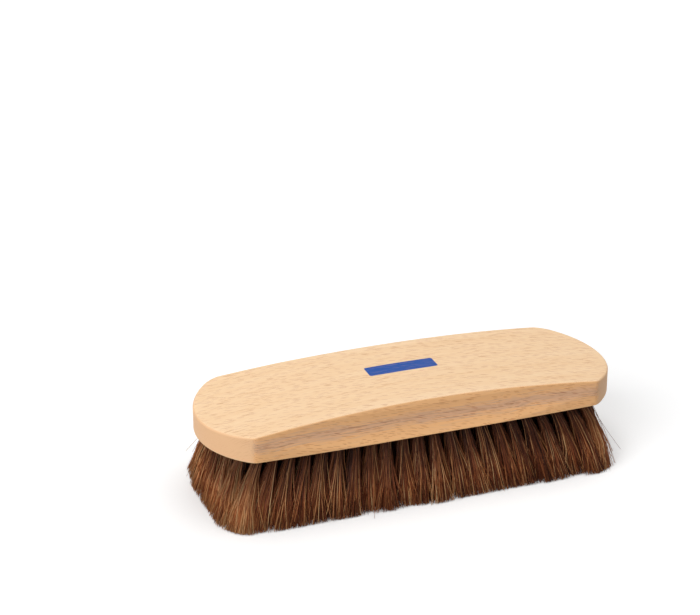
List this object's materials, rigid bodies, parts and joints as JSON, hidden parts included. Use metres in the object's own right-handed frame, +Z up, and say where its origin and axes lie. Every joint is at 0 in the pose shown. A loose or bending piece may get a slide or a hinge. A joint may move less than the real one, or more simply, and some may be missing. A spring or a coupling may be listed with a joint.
{
  "type": "shoe shine brush",
  "caption": "Shoe shine brush: an arched beech block with rounded ends and finger hollows, set with dense rows of trimmed horsehair tufts.",
  "frame": {"origin": "middle of the trimmed bristle face, which the brush stands on", "axes": "+X along the block, +Y across it, +Z up from the bristle tips to the block's arched back"},
  "size_m": [0.18, 0.0712, 0.0438],
  "materials": {
    "beech": "sanded, bare, pale straw with short darker flecks along the length",
    "horsehair": "dark brown hair with paler golden strands, trimmed flat",
    "anchor_wire": "bright flat wire"
  },
  "bodies": {
    "root": {"beech_block": "beech", "tuft_row_01": "horsehair", "tuft_row_02": "horsehair", "tuft_row_03": "horsehair", "tuft_row_04": "horsehair", "tuft_row_05": "horsehair", "tuft_row_06": "horsehair", "tuft_row_07": "horsehair", "tuft_row_08": "horsehair", "tuft_row_09": "horsehair", "tuft_row_10": "horsehair", "tuft_row_11": "horsehair", "tuft_row_12": "horsehair", "tuft_row_13": "horsehair", "tuft_row_14": "horsehair", "tuft_row_15": "horsehair", "tuft_row_16": "horsehair", "tuft_row_17": "horsehair", "tuft_row_18": "horsehair", "tuft_row_19": "horsehair", "tuft_row_20": "horsehair", "tuft_row_21": "horsehair", "tuft_row_22": "horsehair", "anchor_row_01": "anchor_wire", "anchor_row_02": "anchor_wire", "anchor_row_03": "anchor_wire", "anchor_row_04": "anchor_wire", "anchor_row_05": "anchor_wire", "anchor_row_06": "anchor_wire", "anchor_row_07": "anchor_wire", "anchor_row_08": "anchor_wire", "anchor_row_09": "anchor_wire", "anchor_row_10": "anchor_wire", "anchor_row_11": "anchor_wire", "anchor_row_12": "anchor_wire", "anchor_row_13": "anchor_wire", "anchor_row_14": "anchor_wire", "anchor_row_15": "anchor_wire", "anchor_row_16": "anchor_wire", "anchor_row_17": "anchor_wire", "anchor_row_18": "anchor_wire", "anchor_row_19": "anchor_wire", "anchor_row_20": "anchor_wire", "anchor_row_21": "anchor_wire", "anchor_row_22": "anchor_wire"}
  },
  "joints": []
}
